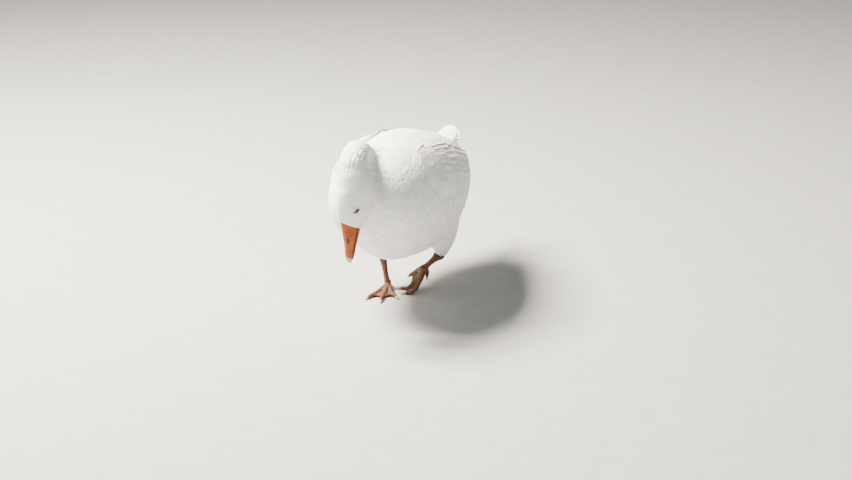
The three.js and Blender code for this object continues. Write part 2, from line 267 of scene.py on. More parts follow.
def eye_stuff():
    """Blue-grey iris round a black pupil; the mark "gaze" is the angle from the eye's axis."""
    s = Stuff("goose eye", Roughness=0.08, IOR=1.38, Coat_Weight=1.0, Coat_Roughness=0.02)
    gaze = s.add("ShaderNodeAttribute", 2, attribute_name="gaze")
    pupil, white = [(0.0, "050506"), (0.5, "050506")], [(0.78, "141b20"), (0.84, "1a1a1c")]
    iris = [(0.54, "1d2b33"), (0.7, "35505f")]
    return s.paint(Base_Color=s.ramp(gaze, *pupil, *iris, *white))


EYE = eye_stuff()
print("materials:", [m.name for m in bpy.data.materials])

# %% [markdown]
# ## The goose's own coordinates
#
# Sizes are easier to think of as millimetres forward, left and up. The trunk is an egg: rings
# of height and width swing from the breast (0) to the rump (1). The wings lie on it, so they
# are described by a station along the trunk and an angle round it.

# %%
MIDDLE = np.array([-0.651, -19.230, 0.0])
BREAST, RUMP, AXIS, WIDE = 256.0, 288.0, 239.0, 272.0
BLUNT = 0.72  # the power that rounds the egg's ends off; 0.5 would be an ellipsoid
# along, sideways sway, axis height, half width, reach above, reach below, pinch below
TRUNK = [
    (0.00, -4, AXIS + 44, 0.500 * WIDE, 98, 98, 2.1),
    (0.25, -4, AXIS + 22, 0.520 * WIDE, 146, 152, 1.5),
    (0.50, 2, AXIS - 12, 0.475 * WIDE, 150, 126, 1.0),
    (0.75, 6, AXIS, 0.335 * WIDE, 76, 118, 0.9),
    (1.00, 8, AXIS + 12, 0.170 * WIDE, 36, 48, 1.0),
]
# along the wing, station on the trunk, middle angle, half of the arc, height over the trunk
WING = [
    (0.00, 0.28, 36, 12, -5),
    (0.12, 0.32, 38, 28, -1.5),
    (0.40, 0.46, 34, 38, 2),
    (0.65, 0.60, 31, 41, 4),
    (0.85, 0.74, 28, 40, 8),
    (1.00, 0.89, 25, 21, 18),
]


def place(forward, left, up):
    """A spot in metres from millimetres forward, left and up."""
    spot = np.stack(np.broadcast_arrays(np.asarray(left, float), -np.asarray(forward, float), up), -1)
    return (spot + MIDDLE) / 1000


def trunk(along, turn, grow=0.0):
    """The egg: half widths times a power of sin(pi along), pinched to a keel below."""
    along, turn, grow = np.broadcast_arrays(along, turn, grow)
    sway, height, wide, above, below, pinch = np.moveaxis(curve(TRUNK, along), -1, 0)
    swell = np.sin(np.pi * np.clip(along, 0, 1)) ** BLUNT
    cos, sin = np.cos(turn), np.sin(turn)
    keel = 1 - np.maximum(0, -sin) * (1 - np.maximum(np.abs(cos), 1e-3) ** (pinch - 1))
    width = (wide * swell + grow) * keel
    reach = np.where(sin > 0, above, below) * swell + grow
    forward = (BREAST - RUMP) / 2 + ((BREAST + RUMP) / 2 + grow) * np.cos(np.pi * along)
    return place(forward, sway + cos * width, height + sin * reach)


def wing(side, station, angle, grow):
    """A spot over the trunk, mirrored for the right wing about the trunk's own middle."""
    spot = trunk(station, np.radians(angle), grow)
    sway = (curve(TRUNK, station)[..., 0] + MIDDLE[0]) / 1000
    spot[..., 0] = sway + side * (spot[..., 0] - sway)
    return spot


YAW, DROP = math.radians(-48), math.radians(82)
LEVEL = np.array([math.sin(YAW), -math.cos(YAW), 0.0])
BILL_WAY = LEVEL * math.cos(DROP) - np.array([0, 0, math.sin(DROP)])
CROWN_WAY = LEVEL * math.sin(DROP) + np.array([0, 0, math.cos(DROP)])
CHEEK_WAY = np.cross(CROWN_WAY, BILL_WAY)


def on_head(x, y, z):
    """A spot from millimetres along the bill, to the left cheek and to the crown."""
    x, y, z = (np.asarray(v, float)[..., None] / 1000 for v in np.broadcast_arrays(x, y, z))
    return place(300, -18, 254) + x * BILL_WAY + y * CHEEK_WAY + z * CROWN_WAY


NECK_SPOTS = np.array([
    place(119, -22, 293), place(176, -31, 346), place(223, -29, 381), place(261, -23, 382),
    place(288, -19, 358), on_head(-72, 0, 0), on_head(-45, 0, 2), on_head(-15, 0, 4), on_head(14, 0, 2),
])
steps = np.linalg.norm(np.diff(NECK_SPOTS, axis=0), axis=1)
NECK_PATH = np.column_stack([np.append(0, np.cumsum(steps)) / steps.sum(), NECK_SPOTS])
NECK_LENGTH = float(steps.sum())
# along the neck, half width, reach to the nape, reach to the throat
NECK = [
    (0.00, 62, 58, 92), (0.20, 40, 38, 68), (0.38, 29, 30, 40), (0.55, 28.5, 29, 33), (0.68, 28, 35, 37),
    (0.78, 29.5, 40, 46), (0.86, 29, 36, 47), (0.93, 23, 27, 38), (1.00, 16, 17, 26),
]


def neck_frame(along):
    """Centre, way ahead, left side and crown side of the neck; left turns with the head's yaw."""
    centre = curve(NECK_PATH, along)
    ahead = unit(curve(NECK_PATH, along + 0.01) - curve(NECK_PATH, along - 0.01))
    ease = np.clip((along - 0.05) / 0.55, 0, 1)
    turned = YAW * ease * ease * (3 - 2 * ease)
    left = np.stack([np.cos(turned), np.sin(turned), np.zeros_like(turned)], -1)
    crown = unit(np.cross(ahead, left))
    return centre, ahead, unit(np.cross(crown, ahead)), crown


def neck(along, turn):
    """A spot on the neck or head: an ellipse, deeper towards the throat than the nape."""
    along, turn = np.broadcast_arrays(along, turn)
    centre, _, left, crown = neck_frame(along)
    wide, nape, throat = np.moveaxis(curve(NECK, along), -1, 0)
    deep = np.where(np.sin(turn) > 0, nape, throat)
    across = (np.cos(turn) * wide / 1000)[..., None] * left
    return centre + across + (np.sin(turn) * deep / 1000)[..., None] * crown


print("neck", round(NECK_LENGTH * 1000), "mm long")

# %% [markdown]
# ## One skin
#
# The flesh solids are joined by filling space with 3 mm cells and keeping the outside, which
# leaves no seam. Small beds for the wings and the tail are joined in as well. The skin is then
# relaxed, so that neck and thighs flow into the body, and drawn in by the depth of the coat.

# %%
def arrays(mesh):
    """The points and triangles of a mesh."""
    mesh.calc_loop_triangles()
    points = np.empty(len(mesh.vertices) * 3, np.float32)
    mesh.vertices.foreach_get("co", points)
    tris = np.empty(len(mesh.loop_triangles) * 3, np.int32)
    mesh.loop_triangles.foreach_get("vertices", tris)
    return points.reshape(-1, 3).astype(float), tris.reshape(-1, 3)


def normals(points, tris):
    """The direction out of the surface at each point, from the faces round it."""
    a, b, c = (points[tris[:, n]] for n in range(3))
    face = np.cross(b - a, c - a)
    total = np.zeros_like(points)
    for n in range(3):
        for k in range(3):
            total[:, k] += np.bincount(tris[:, n], face[:, k], len(points))
    return unit(total)


def relax(values, tris, amount, rounds):
    """Moves each value towards the mean of its neighbours, round after round."""
    ends = np.concatenate([tris[:, [0, 1]], tris[:, [1, 2]], tris[:, [2, 0]]])
    here, there = ends.T
    count = np.bincount(here, minlength=len(values))[:, None]
    for _ in range(rounds):
        total = np.stack([np.bincount(here, column[there], len(values)) for column in values.T], -1)
        values = values + amount * (total / np.maximum(count, 1) - values)
    return values


def fused(meshes, cell):
    """One closed surface round all the given points and triangles, from cells of that size."""
    begin = np.cumsum([0] + [len(p) for p, _ in meshes])
    raw = bpy.data.meshes.new("raw")
    raw.from_pydata(np.concatenate([p for p, _ in meshes]).tolist(), [],
                    np.concatenate([t + b for (_, t), b in zip(meshes, begin)]).tolist())
    lump = bpy.data.objects.new("lump", raw)
    bpy.context.scene.collection.objects.link(lump)
    cells = lump.modifiers.new("cells", "REMESH")
    cells.mode = "VOXEL"
    cells.voxel_size = cell
    made = arrays(lump.evaluated_get(bpy.context.evaluated_depsgraph_get()).to_mesh())
    bpy.data.objects.remove(lump)
    return made


def wing_bed(side):
    """A flat pad under the wing's feathers."""
    along, turn = sweep(np.linspace(0.04, 0.9, 26), 18)
    station, middle, spread, over = np.moveaxis(curve(WING, along), -1, 0)
    angle = middle + (spread - 4) * np.cos(turn)
    lift = np.where(np.sin(turn) > 0, over, -9) * (1 - np.cos(turn) ** 8) - 4 * np.cos(turn) ** 8
    return grid(wing(side, station, angle, lift))


TAIL_RISE = math.radians(24)


def tail(reach, across, rise):
    """A spot on the tail from millimetres back along it, across and over its own middle."""
    rise = rise - 0.004 * across ** 2
    back = 262 + reach * math.cos(TAIL_RISE) - rise * math.sin(TAIL_RISE)
    return place(-back, 1 + across, 250 + reach * math.sin(TAIL_RISE) + rise * math.cos(TAIL_RISE))


# distance from the root of the tail, half of its width, half of its depth
TAIL_SHAPE = [(-20, 29, 19), (30, 28, 16), (80, 24, 9), (100, 17, 4), (110, 12, 1.2), (118, 9, 0.2)]


def tail_bed():
    """The fleshy root of the tail, thinning to a blunt end under the coverts."""
    reach, turn = sweep(np.linspace(-25, 92, 18), 18)
    wide, deep = np.moveaxis(curve(TAIL_SHAPE, reach), -1, 0)
    return grid(tail(reach, (wide - 1.5) * np.cos(turn), (deep - 2) * np.sin(turn)))


FLESH = ["trunk", "neck", "head", "thigh_left", "thigh_right"]
parts = [arrays(nodes[n].data) for n in FLESH] + [wing_bed(1), wing_bed(-1), tail_bed()]


def drawn_in(part, other, gap):
    """The part's points, drawn in where the other part comes nearer than the gap."""
    points, tris = parts[part]
    search = BVHTree.FromPolygons(parts[other][0].tolist(), parts[other][1].tolist())
    near = np.array([search.find_nearest(Vector(p))[3] for p in points])
    return points - normals(points, tris) * np.clip(gap - near, 0, None)[:, None] / 2, tris


# the head hangs this clear of the breast, in metres
HEAD_GAP = 0.011
parts[0], parts[2] = drawn_in(0, 2, HEAD_GAP), drawn_in(2, 0, HEAD_GAP)
skin_points, skin_tris = fused(parts, 0.003)
searchers = [BVHTree.FromPolygons(p.tolist(), t.tolist()) for p, t in parts]
far = np.array([[s.find_nearest(Vector(p))[3] for s in searchers] for p in skin_points])
share = relax(np.eye(len(parts))[far.argmin(1)], skin_tris, 0.7, 25)
fold = relax((np.sort(far, 1)[:, 1] < 0.016).astype(float)[:, None], skin_tris, 0.7, 6)
for _ in range(3):
    smoothed = relax(skin_points, skin_tris, 0.6, 8)
    keep = np.clip(fold * 1.6 + share[:, :1] * 0.5, 0.12, 1) * (1 - share[:, 2:3] * 0.8)
    skin_points = skin_points + keep * (smoothed - skin_points)
skin_points = relax(relax(skin_points, skin_tris, 0.5, 3), skin_tris, -0.52, 2)
COAT = np.array([0.0045, 0.0022, 0.0011, 0.0028, 0.0028, 0.002, 0.002, 0.002])
skin_points = skin_points - normals(skin_points, skin_tris) * (share @ COAT)[:, None]

# %% [markdown]
# Geese carry furrows down the neck, where the feathers stand in slanting rows. The skin is
# ribbed to match: a wave round the neck that fades out at the head and at the breast.

# %%
path_at = np.linspace(0, 1, 200)
path_spots = curve(NECK_PATH, path_at)
blocks = np.array_split(skin_points, 60)
nearest = np.concatenate([np.linalg.norm(block[:, None] - path_spots, axis=2).argmin(1) for block in blocks])
skin_along = path_at[nearest]


def around(points, along):
    """The angle of points round the neck at their own stations."""
    centre, _, left, crown = neck_frame(along)
    off = points - centre
    return np.arctan2((off * crown).sum(-1), (off * left).sum(-1))


def furrow(along, turn):
    """How deep the furrows are: twenty-one ribs round the neck that wind slowly along it."""
    fade = np.clip((along - 0.30) / 0.25, 0, 1) * np.clip((0.88 - along) / 0.3, 0, 1)
    return fade * np.sin(21 * turn + 16 * along + 0.8 * np.sin(23 * along))


ribs = furrow(skin_along, around(skin_points, skin_along)) * share[:, 1]
skin_points = skin_points + normals(skin_points, skin_tris) * (0.0005 * ribs)[:, None]
skin = piece("skin", skin_points, skin_tris, DOWN, FLESH)
ground = BVHTree.FromPolygons(skin_points.tolist(), skin_tris.tolist())

# %% [markdown]
# ## The blade of a feather
#
# Every feather is the same closed, thin, cupped blade: a spine of a few spots, a width at each
# spot, and a rim whose two edges sag under the middle. One call builds thousands of them from
# arrays. The marks it keeps are a tone for each vane and the distance that draws its barbs.
# Its map gives each vane a small patch at its root's place on an unwrap of the skin.

# %%
PATCH = 0.003


def vanes(spine, side, up, half, thick, cup, tone, where):
    """Blades from spines (n, k, 3), side and up directions, half widths (n, k) and a cup share."""
    n, k = spine.shape[:2]
    wide = half[..., None] * side
    drop = (cup[:, None] * half)[..., None] * up
    body = thick[:, None] * np.linspace(1, 0.45, k)
    body = body[..., None] * up
    rim = np.stack([spine + wide - drop, spine + body, spine - wide - drop, spine - body * 0.6], 2)
    tip = spine[:, -1] + (spine[:, -1] - spine[:, -2]) * 0.35
    points = np.concatenate([rim.reshape(n, -1, 3), tip[:, None], spine[:, :1]], 1)
    i, j = np.meshgrid(np.arange(k - 1), np.arange(4), indexing="ij")
    a, b = i * 4 + j, i * 4 + (j + 1) % 4
    quads = [np.stack([a, b, b + 4], -1), np.stack([a, b + 4, a + 4], -1)]
    tris = np.concatenate([q.reshape(-1, 3) for q in quads])
    ring = np.arange(4)
    last = (k - 1) * 4
    caps = [np.stack([last + ring, last + (ring + 1) % 4, np.full(4, 4 * k)], -1),
            np.stack([(ring + 1) % 4, ring, np.full(4, 4 * k + 1)], -1)]
    tris = np.concatenate([tris] + caps)
    size = 4 * k + 2
    reach = np.linalg.norm(np.diff(spine, axis=1), axis=2).cumsum(1)
    reach = np.concatenate([np.zeros((n, 1)), reach], 1)
    slant = np.stack([reach - 1.2 * half, reach, reach - 1.2 * half, reach], 2).reshape(n, -1)
    barb = np.concatenate([slant, reach[:, -1:], reach[:, :1]], 1)
    across = np.concatenate([np.tile([0.5, 0, -0.5, 0], k), [0, 0]])
    down = np.concatenate([np.repeat(np.linspace(-0.5, 0.5, k), 4), [0.5, -0.5]])
    uv = where[:, None] + PATCH * np.stack([across, down], -1)
    rim = np.tile(np.append(np.tile([True, False], 2 * k), [True, False]), n)
    return (points.reshape(-1, 3), (tris + size * np.arange(n)[:, None, None]).reshape(-1, 3),
            np.repeat(tone, size), barb.reshape(-1), uv.reshape(-1, 2), rim)


def feathers(name, batches, material, hides=()):
    """One piece from several batches of vanes."""
    begin = np.cumsum([0] + [len(batch[0]) for batch in batches])
    tris = np.concatenate([batch[1] + start for batch, start in zip(batches, begin)])
    points, tone, barb, uv, rim = (np.concatenate([batch[n] for batch in batches]) for n in (0, 2, 3, 4, 5))
    marks = [("tone", tone), ("barb", barb)]
    return piece(name, points, tris, material, hides, np.clip(uv, 0, 1), marks, rim)


print("blade ready")

# %% [markdown]
# ## How the plumage lies
#
# On a goose the body feathers point back, those of the breast down and back, those of the
# thighs down, and on the neck and head they run from the bill towards the shoulders. Their
# length grows from 4 mm at the bill to about 30 mm on the flanks. Both are worked out for
# every spot of the skin, and then mixed where neck, thighs and body meet.

# %%
skin_normal = normals(skin_points, skin_tris)
forward = MIDDLE[1] - 1000 * skin_points[:, 1]
body_along = np.arccos(np.clip((2 * forward - BREAST + RUMP) / (BREAST + RUMP), -1, 1)) / np.pi
front = np.clip(-skin_normal[:, 1] * 1.3, 0, 1)
path_ahead = neck_frame(skin_along)[1]
body_way = np.stack([0 * front, 1 - 0.3 * front, -1.5 * front], -1)
leg_way = np.tile([0.0, 0.45, -1.0], (len(skin_points), 1))
neck_share = relax(share[:, 1:3].sum(1, keepdims=True), skin_tris, 0.7, 30)
leg_share = relax(share[:, 3:5].sum(1, keepdims=True), skin_tris, 0.7, 12)
lie = neck_share * -unit(path_ahead) + leg_share * leg_way
lie = lie + (1 - np.minimum(1, neck_share + leg_share)) * unit(body_way)
lie = unit(relax(lie - (lie * skin_normal).sum(1, keepdims=True) * skin_normal, skin_tris, 0.6, 10))

# station, length in millimetres, half width as a share of the length
BODY_PLUME = [(0.0, 19, 0.42), (0.25, 24, 0.42), (0.5, 31, 0.4), (0.75, 32, 0.4), (1.0, 26, 0.38)]
NECK_PLUME = [
    (0.0, 19, 0.34), (0.3, 13, 0.3), (0.6, 9.5, 0.27), (0.78, 7.5, 0.27), (0.9, 5.5, 0.3), (1.0, 3.8, 0.34),
]
body_size = curve(BODY_PLUME, body_along)
neck_size = curve(NECK_PLUME, skin_along)
plume = body_size + np.clip(neck_share, 0, 1) * (neck_size - body_size)
plume = plume + np.clip(leg_share, 0, 1) * (np.array([14, 0.32]) - plume)
length_at, slim_at = plume[:, 0] / 1000, plume[:, 1]
depth_at = relax((share @ COAT)[:, None], skin_tris, 0.6, 8)[:, 0]
print("feathers from", round(length_at.min() * 1000), "to", round(length_at.max() * 1000), "mm")

# %% [markdown]
# Roots are scattered in random order, each one keeping its own distance from those before it.
# That gives the even, unruled spacing of real follicles. Where the wings lie, none are set.

# %%
OVERLAP = 0.29
BLADE = np.array([0, 0.35, 0.7, 0.92, 1.0])
BLADE_WIDTH = np.array([0.45, 0.9, 1.0, 0.74, 0.34])


def scatter(spots, gap):
    """Numbers of spots kept: in random order, each drops those nearer than its gap."""
    tree = KDTree(len(spots))
    for k, spot in enumerate(spots):
        tree.insert(spot, k)
    tree.balance()
    free = np.ones(len(spots), bool)
    kept = []
    for k in rng.permutation(len(spots)):
        if free[k]:
            kept.append(k)
            for _, other, _ in tree.find_range(spots[k], gap[k]):
                free[other] = False
    return np.array(kept)


def on_skin(spots):
    """The nearest spots of the skin, the directions out of it and the triangles there."""
    found = [ground.find_nearest(spot)[:3] for spot in spots.reshape(-1, 3).tolist()]
    where, out = np.array([[tuple(a), tuple(b)] for a, b, _ in found]).transpose(1, 0, 2)
    return where.reshape(spots.shape), out.reshape(spots.shape), np.array([f[2] for f in found])


def even_out(spots, gap, rounds):
    """Neighbours nearer than 1.3 gaps push each other apart, until they settle like tiles."""
    for _ in range(rounds):
        tree = KDTree(len(spots))
        for k, spot in enumerate(spots):
            tree.insert(spot, k)
        tree.balance()
        near = np.array([[k for _, k, _ in tree.find_n(spot, 7)][1:] for spot in spots])
        off = spots[:, None] - spots[near]
        far = np.linalg.norm(off, axis=2, keepdims=True)
        push = off / np.maximum(far, 1e-6) * np.clip(1.3 * gap[:, None, None] - far, 0, None)
        spots = on_skin(spots + 0.3 * push.sum(1))[0]
    return spots


corners = skin_points[skin_tris]
area = np.linalg.norm(np.cross(corners[:, 1] - corners[:, 0], corners[:, 2] - corners[:, 0]), axis=1) / 2
gap_at = OVERLAP * length_at[skin_tris].mean(1)
picked = np.repeat(np.arange(len(skin_tris)), rng.poisson(9 * area / gap_at ** 2))
roots = np.einsum("nk,nkd->nd", rng.dirichlet([1, 1, 1], len(picked)), corners[picked])
kept = scatter(roots, gap_at[picked])
roots = even_out(roots[kept], gap_at[picked[kept]], 9)
root_face = on_skin(roots)[2]
print(len(roots), "follicles")


def at_roots(values):
    """Values of the skin's points carried to the roots: the mean of the triangle's corners."""
    return values[skin_tris[root_face]].mean(1)


# %% [markdown]
# Each feather bends over the skin: its spine is laid down in steps, and every step is put back
# on the skin and raised, so that the tip lies on top of the feathers behind it.

# %%
def lay(spine, up, half, where, thick=0.0003, cup=0.14, roll=0.07):
    """Vanes with the given spines, each rolled a little about its own quill."""
    ahead = unit(np.gradient(spine, axis=1))
    side = unit(np.cross(ahead, up))
    up = np.cross(side, ahead)
    turn = rng.normal(0, roll, (len(spine), 1, 1))
    side, up = side * np.cos(turn) + up * np.sin(turn), up * np.cos(turn) - side * np.sin(turn)
    thick = np.full(len(spine), thick) if np.isscalar(thick) else thick
    cups = cup * rng.uniform(0.7, 1.3, len(spine))
    return vanes(spine, side, up, half, thick, cups, rng.uniform(0, 1, len(spine)), where)


def unwrap(spots, along_body, along_neck, on_neck, on_leg):
    """Places on the skin's own map: body below, neck and head above it, thighs on top."""
    x, y, z = spots.T
    body = np.stack([np.arctan2(z - 0.25, x) / (2 * np.pi) + 0.5, 0.02 + 0.53 * along_body], -1)
    head = np.stack([around(spots, along_neck) / (2 * np.pi) + 0.5, 0.58 + 0.27 * along_neck], -1)
    leg = np.stack([np.arctan2(x, y) / (2 * np.pi) + 0.5, 0.88 + 0.4 * (z - 0.05)], -1)
    return np.where(on_neck[:, None], head, np.where(on_leg[:, None], leg, body))


def contour(pick):
    """Body feathers on the chosen roots."""
    n = len(pick)
    spots, out = roots[pick], root_normal[pick]
    length = root_length[pick] * rng.uniform(0.86, 1.14, n)
    swing = rng.normal(0, 0.07, n)[:, None]
    way = root_lie[pick]
    way = way * np.cos(swing) + np.cross(out, way) * np.sin(swing)
    step = spots[:, None] + way[:, None] * (length[:, None] * BLADE)[..., None]
    on, up, _ = on_skin(step)
    rise = (root_depth[pick] * rng.uniform(0.96, 1.03, n))[:, None] * (0.74 + 0.26 * BLADE) - 0.0003
    spine = on + rise[..., None] * up
    half = (length * root_slim[pick])[:, None] * BLADE_WIDTH
    thick = 0.00012 + 0.008 * length
    calm = (up * out[:, None]).sum(-1).min(1) > 0.35
    calm &= np.linalg.norm(np.diff(spine, axis=1), axis=2).min(1) > 0.02 * length
    return lay(spine[calm], up[calm], half[calm], root_uv[pick][calm], thick[calm], 0.06, 0.03)


root_normal = unit(at_roots(skin_normal))
root_lie = unit(at_roots(lie))
root_length, root_slim, root_depth = at_roots(length_at), at_roots(slim_at), at_roots(depth_at)
root_along, root_body = at_roots(skin_along), at_roots(body_along)
root_neck, root_leg = at_roots(neck_share)[:, 0], at_roots(leg_share)[:, 0]
root_uv = unwrap(roots, root_body, root_along, root_neck > 0.5, root_leg > 0.5)


def under_wing(spots, along_body):
    """Whether a spot lies under a folded wing, well inside its edges."""
    sway, height, wide, above = curve(TRUNK, along_body)[:, :4].T
    swell = np.sin(np.pi * np.clip(along_body, 0.001, 0.999)) ** BLUNT
    off = (spots[:, 0] * 1000 - sway - MIDDLE[0]) / (wide * swell)
    turn = np.degrees(np.arctan2((spots[:, 2] * 1000 - height) / (above * swell), np.abs(off)))
    table = np.array(WING)
    middle = np.interp(along_body, table[:, 1], table[:, 2])
    spread = np.interp(along_body, table[:, 1], table[:, 3], left=0, right=0)
    return np.abs(turn - middle) < spread - 11


bare = under_wing(roots, root_body) & (root_neck < 0.3)
PARTS = [
    ("face_feathers", (root_neck > 0.5) & (root_along > 0.86)),
    ("head_feathers", (root_neck > 0.5) & (root_along <= 0.86) & (root_along > 0.7)),
    ("neck_feathers", (root_neck > 0.5) & (root_along <= 0.7)),
    ("breast_feathers", (root_neck <= 0.5) & (root_leg <= 0.5) & (root_body < 0.4)),
    ("body_feathers", (root_neck <= 0.5) & (root_leg <= 0.5) & (root_body >= 0.4)),
    ("thigh_feathers", (root_neck <= 0.5) & (root_leg > 0.5)),
]
for label, chosen in PARTS:
    feathers(label, [contour(np.flatnonzero(chosen & ~bare))], PLUME)

# %% [markdown]
# ## Folded wings
#
# A folded wing shows its feathers in tiers. The long primaries lie lowest, the secondaries and
# then the broad tertials cover them, and rows of shorter and shorter coverts cover their
# quills. Each tier is a fan of blades whose roots and tips are given as shares of the wing:
# how far along it, and how far across from its lower to its upper edge.

# %%
FLIGHT = np.array([0, 0.16, 0.36, 0.56, 0.76, 0.9, 0.97, 1.0])
FLIGHT_WIDTH = np.array([0.55, 0.82, 0.95, 1.0, 0.97, 0.8, 0.55, 0.3])


def on_wing(side, along, across, rise):
    """A spot over the wing: across runs from -1 at the lower edge to 1 at the upper."""
    station, middle, spread, over = np.moveaxis(curve(WING, along), -1, 0)
    tuck = np.minimum(np.abs(across), 1.05) ** 5
    over = over - (over + 4) * tuck
    return wing(side, station, middle + spread * across, over + rise * (1 - 0.8 * tuck))


def wing_vanes(side, roots_at, tips_at, half, low, high, thick=0.0005, cup=0.07):
    """Blades from (along, across) roots to tips, rising from low to high millimetres."""
    track = roots_at[:, None] + (tips_at - roots_at)[:, None] * FLIGHT[:, None]
    track[..., 1] += 0.05 * np.sin(np.pi * FLIGHT)
    rise = low[:, None] + (high - low)[:, None] * FLIGHT
    spine = on_wing(side, track[..., 0], track[..., 1], rise)
    held = np.clip(track[..., 1], -0.72, 0.72)
    wide = on_wing(side, track[..., 0], held + 0.03, rise) - on_wing(side, track[..., 0], held - 0.03, rise)
    up = unit(np.cross(wide, np.gradient(spine, axis=1))) * side
    n = len(roots_at)
    widths = (half * rng.uniform(0.94, 1.06, n) / 1000)[:, None] * FLIGHT_WIDTH
    along, across = track[:, 0].T
    where = np.stack([0.03 + 0.9 * (across + 1) / 2 * 0.45 + (side > 0) * 0.5, 0.9 + 0.09 * along], -1)
    return lay(spine, up, widths, where, thick, cup, 0.04)


def tier(side, count, root, tip, half, layer, step=0.25):
    """One row: count blades, their roots and tips between two ends given as (along, across)."""
    t = np.linspace(0, 1, count)[:, None] + rng.normal(0, 0.12 / count, (count, 1))
    start = np.array(root[0]) + (np.array(root[1]) - root[0]) * t
    end = np.array(tip[0]) + (np.array(tip[1]) - tip[0]) * t
    end[:, 0] += rng.normal(0, 0.004, count)
    over = layer + step * np.arange(count) / count
    return wing_vanes(side, start, end, half, over - 0.9, over + 0.7)


# count, roots from and to, tips from and to, half width, layer
TIERS = [
    (6, ((0.42, -0.9), (0.46, -0.4)), ((0.90, -0.95), (1.0, -0.1)), 13, 0.0),
    (9, ((0.30, -0.95), (0.42, 0.1)), ((0.62, -1.0), (0.86, -0.1)), 15, 1.0),
    (6, ((0.38, 0.1), (0.40, 0.85)), ((0.86, -0.05), (0.88, 0.75)), 18, 2.0),
    (11, ((0.20, -0.98), (0.32, 0.5)), ((0.42, -1.0), (0.58, 0.45)), 12, 2.8),
    (12, ((0.14, -1.0), (0.24, 0.6)), ((0.30, -1.02), (0.42, 0.6)), 10, 3.3),
    (13, ((0.09, -1.0), (0.17, 0.7)), ((0.21, -1.02), (0.31, 0.7)), 8.5, 3.7),
    (13, ((0.04, -0.95), (0.11, 0.8)), ((0.145, -1.0), (0.225, 0.8)), 8, 4.1),
    (11, ((0.00, -0.9), (0.05, 0.9)), ((0.09, -0.98), (0.15, 0.9)), 8, 4.3),
    (9, ((-0.03, -0.8), (0.0, 1.0)), ((0.055, -0.9), (0.09, 1.0)), 8, 4.4),
    (7, ((0.26, 0.5), (0.30, 1.1)), ((0.50, 0.45), (0.52, 1.0)), 14, 3.4),
    (7, ((0.16, 0.6), (0.20, 1.15)), ((0.36, 0.55), (0.38, 1.08)), 12, 3.9),
    (6, ((0.08, 0.7), (0.10, 1.15)), ((0.25, 0.65), (0.26, 1.12)), 10, 4.3),
]
for side, label in ((1, "left"), (-1, "right")):
    rows = [tier(side, *row) for row in TIERS]
    feathers("wing_feathers_" + label, rows, QUILL, ["wing_" + label])

# %% [markdown]
# ## The tail
#
# A goose has sixteen or eighteen broad tail feathers; seventeen are laid here. Closed, they
# stack like a hand of cards with the middle ones on top. Seven rows of soft coverts above and
# seven below hide their quills, each row's tips lying on the roots of the next.

# %%
def tail_vanes(share, root, tip, half, sign):
    """Blades over or under the tail, each at its own share of the half width all the way."""
    reach = root + (tip - root)[:, None] * FLIGHT
    wide, deep = np.moveaxis(curve(TAIL_SHAPE, reach), -1, 0)
    share = share[:, None]
    level = np.sqrt(1 - share ** 2)
    across, rise = wide * share, sign * (deep * level - 2.6 * (1 - FLIGHT))
    spine = tail(reach, across, rise)
    up = unit(tail(reach, across + share * deep / wide, rise + sign * level) - spine)
    where = np.stack([0.5 + 0.4 * share[:, 0], 0.965 + 0.0002 * reach[:, 0]], -1)
    return lay(spine, up, half / 1000 * FLIGHT_WIDTH * np.ones((len(spine), 1)), where, 0.0005, 0.08, 0.03)


def tail_row(count, root, tip, half, sign):
    """A row of feathers whose tips draw a shallow arc."""
    share = np.linspace(-0.84, 0.84, count) + rng.normal(0, 0.02, count)
    share = share[np.argsort(-np.abs(share))]
    return tail_vanes(share, root, tip - 12 * share ** 2 + rng.normal(0, 1, count), half, sign)


TAIL_ROWS = [(7, tip - 50, tip, 9, sign) for sign in (1, -1) for tip in (30, 42, 54, 66, 78, 90, 100)]
TAIL_ROWS += [(9, 50, 115, 8.5, 1), (8, 50, 108, 8.5, -1)]
feathers("tail_feathers", [tail_row(*row) for row in TAIL_ROWS], QUILL, ["tail"])

# %% [markdown]
# ## The bill
#
# The bill is a wedge: high at the face, low and broad at the tip. The upper half is a tube of
# half ellipses along the head's own line. Two touches make it a goose's: an oval nostril with
# a raised rim, and the grinning patch, a row of small plates along the cutting edge.

# %%
# along, distance from the mouth corner, half width, culmen height, mouth line height
UPPER = [
    (0.00, -14, 15.5, 27, -8), (0.20, 6, 15.2, 20, -8.5), (0.45, 30, 14, 13, -8),
    (0.70, 54, 12.4, 6, -7.5), (0.88, 73, 9.6, 2, -8.5), (1.00, 84, 4.5, -4, -10),
]
# along, distance, half width, mouth line height, keel height
LOWER = [
    (0.0, -14, 14, -9.6, -22), (0.3, 14, 13, -9.8, -20), (0.6, 42, 11.4, -9.4, -16),
    (0.85, 66, 9, -9.4, -14), (1.0, 77, 4.5, -10.8, -13),
]


PLATE = 1.7  # the spacing in millimetres of the plates along the cutting edge


def swell(x, y, size_x, size_y):
    """A round bump: 1 in its middle, 0 beyond its own size."""
    return np.clip(1 - (x / size_x) ** 2 - (y / size_y) ** 2, 0, 1)


